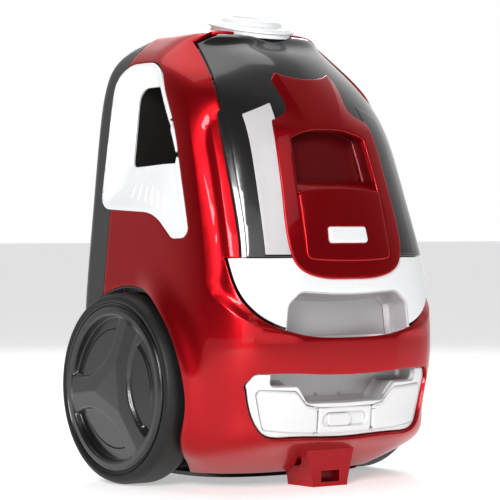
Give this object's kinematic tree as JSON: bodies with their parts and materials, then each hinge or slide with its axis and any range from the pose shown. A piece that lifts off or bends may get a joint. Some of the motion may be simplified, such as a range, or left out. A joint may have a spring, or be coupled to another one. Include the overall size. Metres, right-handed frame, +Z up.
{
  "type": "canister vacuum cleaner",
  "caption": "Canister vacuum cleaner on its tail: red shell, lift-out dust bin, hand opening through the side, foot pedals, large rear wheels and a swivel caster.",
  "frame": {"origin": "on the floor below the middle of the machine as it stands on its tail", "axes": "+Z up from the tail to the hose inlet, -Y towards the side with the dust bin and pedals, +Y the underside that faces the floor in use, X along the wheel axle"},
  "size_m": [0.3012, 0.2439, 0.428],
  "materials": {
    "red_shell": "metallic candy red lacquered plastic",
    "black_plastic": "fine satin black moulded plastic",
    "grey_plastic": "plain grey moulded plastic",
    "silver_plastic": "silver pearl painted plastic",
    "smoked_plastic": "polished smoked near-black plastic",
    "clear_plastic": "translucent grey window plastic",
    "tyre_rubber": "soft-touch dark grey rubber",
    "hub_plastic": "semi-gloss black moulded plastic",
    "steel": "zinc plated steel",
    "motor_metal": "galvanised steel can and laminations",
    "soft_rubber": "soft black rubber",
    "filter_foam": "white filter foam and pleated paper",
    "board": "green circuit board"
  },
  "bodies": {
    "main_body": {"axle_clip_left": "steel", "axle_clip_right": "steel", "axle_left": "steel", "axle_right": "steel", "bin_bay": "black_plastic", "bin_seal": "soft_rubber", "circuit_board": "board", "cord_outlet": "soft_rubber", "exhaust_filter": "filter_foam", "fan_casing": "grey_plastic", "filter_frame": "grey_plastic", "grip_tunnel": "black_plastic", "hose_inlet_collar": "silver_plastic", "housing_screws": "steel", "inlet_elbow": "black_plastic", "lower_housing": "black_plastic", "motor_bulkhead": "grey_plastic", "motor_can": "motor_metal", "motor_filter": "filter_foam", "motor_foot": "soft_rubber", "motor_seal": "soft_rubber", "motor_stand": "grey_plastic", "panel_frame": "silver_plastic", "parking_bracket": "red_shell", "power_switch": "black_plastic", "reel_axle": "steel", "reel_stand": "grey_plastic", "rewind_spring_case": "grey_plastic", "side_frame_left": "silver_plastic", "side_frame_right": "silver_plastic", "slider_control": "black_plastic", "slider_plate": "silver_plastic", "upper_shell": "red_shell", "wheel_well_left": "black_plastic", "wheel_well_right": "black_plastic"},
    "left_wheel": {"tyre_left": "tyre_rubber", "wheel_hub_left": "hub_plastic", "hub_cap_left": "hub_plastic"},
    "right_wheel": {"tyre_right": "tyre_rubber", "wheel_hub_right": "hub_plastic", "hub_cap_right": "hub_plastic"},
    "caster_swivel": {"caster_fork": "hub_plastic", "caster_pin": "steel"},
    "caster_roller": {"caster_wheel": "tyre_rubber"},
    "rewind_pedal": {"rewind_pedal": "silver_plastic"},
    "power_pedal": {"power_pedal": "silver_plastic"},
    "brake_rod": {"brake_push_rod": "grey_plastic"},
    "suction_knob": {"slider_knob": "silver_plastic"},
    "dust_bin": {"bin_cup": "smoked_plastic", "bin_tail_cover": "silver_plastic", "bin_window_left": "clear_plastic", "bin_window_right": "clear_plastic", "bin_front_cover": "red_shell", "bin_flap": "red_shell", "cyclone_cones": "grey_plastic", "mesh_screen": "grey_plastic"},
    "release_button": {"bin_button": "silver_plastic"},
    "rotor": {"motor_rotor": "motor_metal"},
    "cord_reel": {"cord_drum": "grey_plastic"},
    "grille_door": {"exhaust_grille": "black_plastic"}
  },
  "joints": [
    {"name": "left_wheel_spin", "type": "hinge", "parent": "main_body", "child": "left_wheel", "pos_m": [-0.1265, 0.036, 0.086], "axis": [1, 0, 0], "continuous": true},
    {"name": "right_wheel_spin", "type": "hinge", "parent": "main_body", "child": "right_wheel", "pos_m": [0.1265, 0.036, 0.086], "axis": [1, 0, 0], "continuous": true},
    {"name": "caster_turn", "type": "hinge", "parent": "main_body", "child": "caster_swivel", "pos_m": [0, 0.1, 0.352], "axis": [0, 1, 0], "continuous": true},
    {"name": "caster_roll", "type": "hinge", "parent": "caster_swivel", "child": "caster_roller", "pos_m": [0, 0.107, 0.338], "axis": [1, 0, 0], "continuous": true},
    {"name": "rewind_pedal_press", "type": "slide", "parent": "main_body", "child": "rewind_pedal", "axis": [0, 1, 0], "range_m": [0, 0.004], "stiffness_N_per_m": 1500},
    {"name": "brake_rod_push", "type": "slide", "parent": "main_body", "child": "brake_rod", "axis": [0, 1, 0], "range_m": [0, 0.004]},
    {"name": "power_pedal_press", "type": "slide", "parent": "main_body", "child": "power_pedal", "axis": [0, 1, 0], "range_m": [0, 0.004], "stiffness_N_per_m": 1500},
    {"name": "suction_slide", "type": "slide", "parent": "main_body", "child": "suction_knob", "axis": [1, 0, 0], "range_m": [-0.004, 0.018]},
    {"name": "bin_lift_out", "type": "slide", "parent": "main_body", "child": "dust_bin", "axis": [0, -1, 0], "range_m": [0, 0.12]},
    {"name": "bin_button_press", "type": "slide", "parent": "dust_bin", "child": "release_button", "axis": [0, 1, 0], "range_m": [0, 0.003], "stiffness_N_per_m": 900},
    {"name": "motor_spin", "type": "hinge", "parent": "main_body", "child": "rotor", "pos_m": [0.044, 0.032, 0.1], "axis": [0, 0, 1], "continuous": true},
    {"name": "cord_reel_spin", "type": "hinge", "parent": "main_body", "child": "cord_reel", "pos_m": [-0.047, 0.032, 0.096], "axis": [1, 0, 0], "continuous": true},
    {"name": "grille_open", "type": "hinge", "parent": "main_body", "child": "grille_door", "pos_m": [0, 0.1104, 0.1004], "axis": [-1, 0, 0], "range_deg": [0, 80]}
  ],
  "couplings": [
    {"joint": "brake_rod_push", "follows": "rewind_pedal_press", "ratio": 1}
  ]
}
